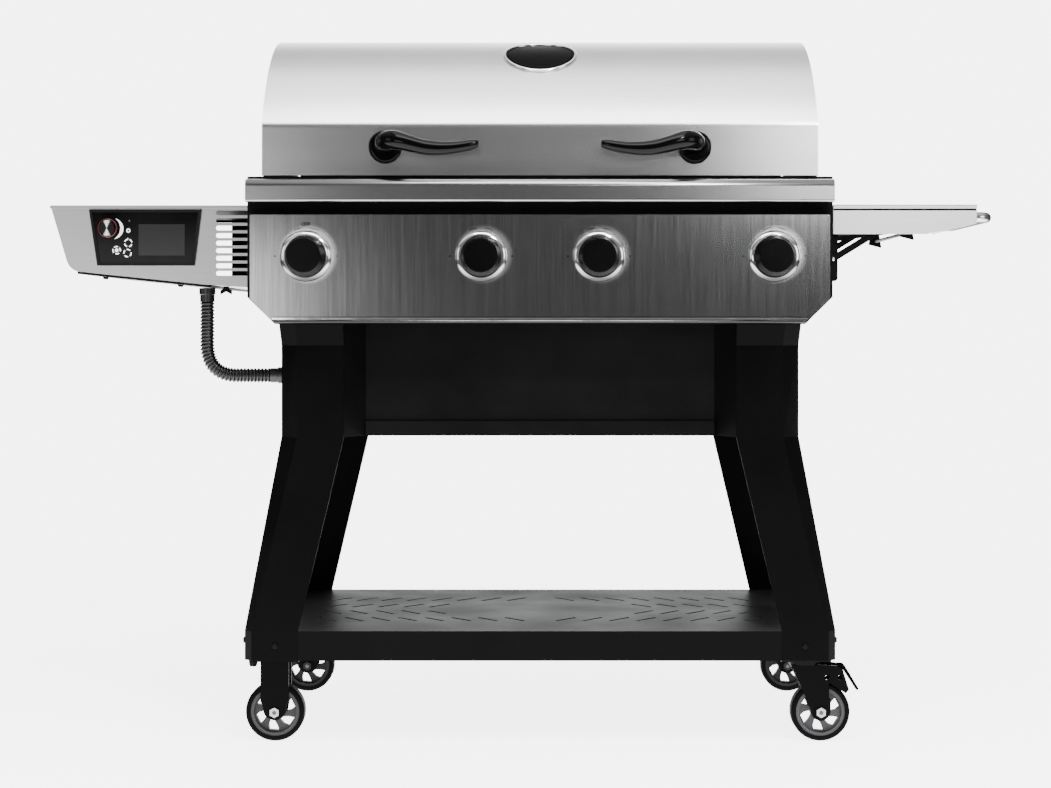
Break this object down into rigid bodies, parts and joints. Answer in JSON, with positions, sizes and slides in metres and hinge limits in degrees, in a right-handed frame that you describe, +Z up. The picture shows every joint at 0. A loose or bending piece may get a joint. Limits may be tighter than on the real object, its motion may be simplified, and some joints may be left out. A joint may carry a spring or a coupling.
{
  "type": "pellet grill",
  "caption": "Wheeled pellet grill with a rolled steel hood, horn handles, control knobs, a controller on one fixed side shelf, a folding side shelf and a slotted bottom shelf.",
  "frame": {"origin": "on the floor under the middle of the whole grill with the folding shelf up", "axes": "+X to the right as seen from the front, +Y to the back, +Z up"},
  "size_m": [1.6134, 0.7496, 1.218],
  "materials": {
    "stainless": "brushed",
    "hood_end_steel": "brushed",
    "black_paint": "satin",
    "plated_steel": "plain",
    "grate_iron": "matt",
    "bezel_chrome": "polished",
    "black_plastic": "satin",
    "motor_metal": "satin",
    "display_glass": "polished",
    "wheel_rubber": "matt"
  },
  "bodies": {
    "frame": {"firebox": "black_paint", "back_panel": "black_paint", "front_rail": "stainless", "control_panel": "stainless", "knob_bezels": "bezel_chrome", "left_shelf": "stainless", "left_shelf_pan": "black_paint", "controller_bezel": "black_plastic", "controller_face": "black_plastic", "controller_screen": "display_glass", "conduit_hose": "black_plastic", "conduit_glands": "black_plastic", "cabinet_front_panel": "black_paint", "cabinet_shell": "black_paint", "power_inlet": "black_plastic", "front_legs": "black_paint", "rear_legs": "black_paint", "bottom_shelf": "black_paint", "frame_screws": "black_paint", "shelf_wall_brackets": "black_paint", "rigid_caster_forks": "black_paint", "swivel_caster_plates": "black_paint", "hopper_bin": "black_paint", "feed_tubes": "plated_steel", "feed_motors": "motor_metal", "fire_pots": "plated_steel", "blowers": "black_plastic", "heat_deflectors": "plated_steel", "drip_tray": "plated_steel", "grease_cup": "plated_steel", "cooking_grates": "grate_iron", "temperature_probe": "plated_steel", "hood_hinge_brackets": "plated_steel"},
    "hood": {"hood_skin": "stainless", "hood_ends": "hood_end_steel", "left_handle": "black_paint", "right_handle": "black_paint", "hood_hinge_leaves": "plated_steel"},
    "left_mode_knob": {"left_mode_knob": "black_plastic"},
    "left_heat_knob": {"left_heat_knob": "black_plastic"},
    "right_heat_knob": {"right_heat_knob": "black_plastic"},
    "right_mode_knob": {"right_mode_knob": "black_plastic"},
    "controller_dial": {"controller_dial": "black_plastic"},
    "power_button": {"power_button": "black_plastic"},
    "folding_shelf": {"right_shelf": "stainless", "shelf_bar": "stainless", "shelf_arms": "black_paint"},
    "shelf_struts": {"shelf_struts": "black_paint"},
    "release_lever": {"release_lever": "black_paint"},
    "hopper_lid": {"hopper_lid": "black_paint"},
    "front_right_fork": {"front_right_fork": "black_paint"},
    "rear_right_fork": {"rear_right_fork": "black_paint"},
    "front_right_pedal": {"front_right_pedal": "black_paint"},
    "rear_right_pedal": {"rear_right_pedal": "black_paint"},
    "front_left_wheel": {"front_left_wheel": "wheel_rubber"},
    "rear_left_wheel": {"rear_left_wheel": "wheel_rubber"},
    "front_right_wheel": {"front_right_wheel": "wheel_rubber"},
    "rear_right_wheel": {"rear_right_wheel": "wheel_rubber"},
    "left_auger": {"left_auger": "plated_steel"},
    "right_auger": {"right_auger": "plated_steel"}
  },
  "joints": [
    {"name": "hood_hinge", "type": "hinge", "parent": "frame", "child": "hood", "pos_m": [0.02275, 0.21085, 1.14204], "axis": [-1, 0, 0], "range_deg": [0, 88]},
    {"name": "left_mode_knob_turn", "type": "hinge", "parent": "frame", "child": "left_mode_knob", "pos_m": [-0.36725, -0.32515, 0.821], "axis": [0, 1, 0], "range_deg": [0, 180]},
    {"name": "left_heat_knob_turn", "type": "hinge", "parent": "frame", "child": "left_heat_knob", "pos_m": [-0.07525, -0.32515, 0.821], "axis": [0, 1, 0], "range_deg": [0, 270]},
    {"name": "right_heat_knob_turn", "type": "hinge", "parent": "frame", "child": "right_heat_knob", "pos_m": [0.12075, -0.32515, 0.821], "axis": [0, 1, 0], "range_deg": [0, 270]},
    {"name": "right_mode_knob_turn", "type": "hinge", "parent": "frame", "child": "right_mode_knob", "pos_m": [0.41275, -0.32515, 0.821], "axis": [0, 1, 0], "range_deg": [0, 180]},
    {"name": "dial_turn", "type": "hinge", "parent": "frame", "child": "controller_dial", "pos_m": [-0.70725, -0.26915, 0.87], "axis": [0, 1, 0], "range_deg": [0, 300]},
    {"name": "power_button_press", "type": "slide", "parent": "frame", "child": "power_button", "axis": [0, 1, 0], "range_m": [0, 0.0015], "stiffness_N_per_m": 300},
    {"name": "shelf_fold", "type": "hinge", "parent": "frame", "child": "folding_shelf", "pos_m": [0.53075, -0.00515, 0.868], "axis": [0, 1, 0], "range_deg": [0, 90]},
    {"name": "strut_fold", "type": "hinge", "parent": "frame", "child": "shelf_struts", "pos_m": [0.52575, -0.00515, 0.82], "axis": [0, 1, 0], "range_deg": [0, 113.5]},
    {"name": "lever_pull", "type": "hinge", "parent": "folding_shelf", "child": "release_lever", "pos_m": [0.65477, -0.00515, 0.888], "axis": [0, -1, 0], "range_deg": [0, 20], "stiffness_Nm_per_rad": 2},
    {"name": "hopper_lid_hinge", "type": "hinge", "parent": "frame", "child": "hopper_lid", "pos_m": [0.02275, 0.36985, 0.985], "axis": [-1, 0, 0], "range_deg": [0, 95]},
    {"name": "front_right_swivel", "type": "hinge", "parent": "frame", "child": "front_right_fork", "pos_m": [0.47275, -0.24315, 0.13], "axis": [0, 0, 1], "continuous": true},
    {"name": "front_right_brake", "type": "hinge", "parent": "front_right_fork", "child": "front_right_pedal", "pos_m": [0.51975, -0.24315, 0.123], "axis": [0, 1, 0], "range_deg": [0, 22]},
    {"name": "front_right_roll", "type": "hinge", "parent": "front_right_fork", "child": "front_right_wheel", "pos_m": [0.49875, -0.24315, 0.05], "axis": [0, 1, 0], "continuous": true},
    {"name": "front_left_roll", "type": "hinge", "parent": "frame", "child": "front_left_wheel", "pos_m": [-0.42725, -0.24315, 0.05], "axis": [0, 1, 0], "continuous": true},
    {"name": "rear_right_swivel", "type": "hinge", "parent": "frame", "child": "rear_right_fork", "pos_m": [0.47275, 0.23286, 0.13], "axis": [0, 0, 1], "continuous": true},
    {"name": "rear_right_brake", "type": "hinge", "parent": "rear_right_fork", "child": "rear_right_pedal", "pos_m": [0.51975, 0.23286, 0.123], "axis": [0, 1, 0], "range_deg": [0, 22]},
    {"name": "rear_right_roll", "type": "hinge", "parent": "rear_right_fork", "child": "rear_right_wheel", "pos_m": [0.49875, 0.23286, 0.05], "axis": [0, 1, 0], "continuous": true},
    {"name": "rear_left_roll", "type": "hinge", "parent": "frame", "child": "rear_left_wheel", "pos_m": [-0.42725, 0.23286, 0.05], "axis": [0, 1, 0], "continuous": true},
    {"name": "left_auger_turn", "type": "hinge", "parent": "frame", "child": "left_auger", "pos_m": [-0.20225, -0.00515, 0.746], "axis": [0, 1, 0], "continuous": true},
    {"name": "right_auger_turn", "type": "hinge", "parent": "frame", "child": "right_auger", "pos_m": [0.24775, -0.00515, 0.746], "axis": [0, 1, 0], "continuous": true}
  ],
  "couplings": [
    {"joint": "strut_fold", "follows": "shelf_fold", "ratio": 1.2556}
  ]
}
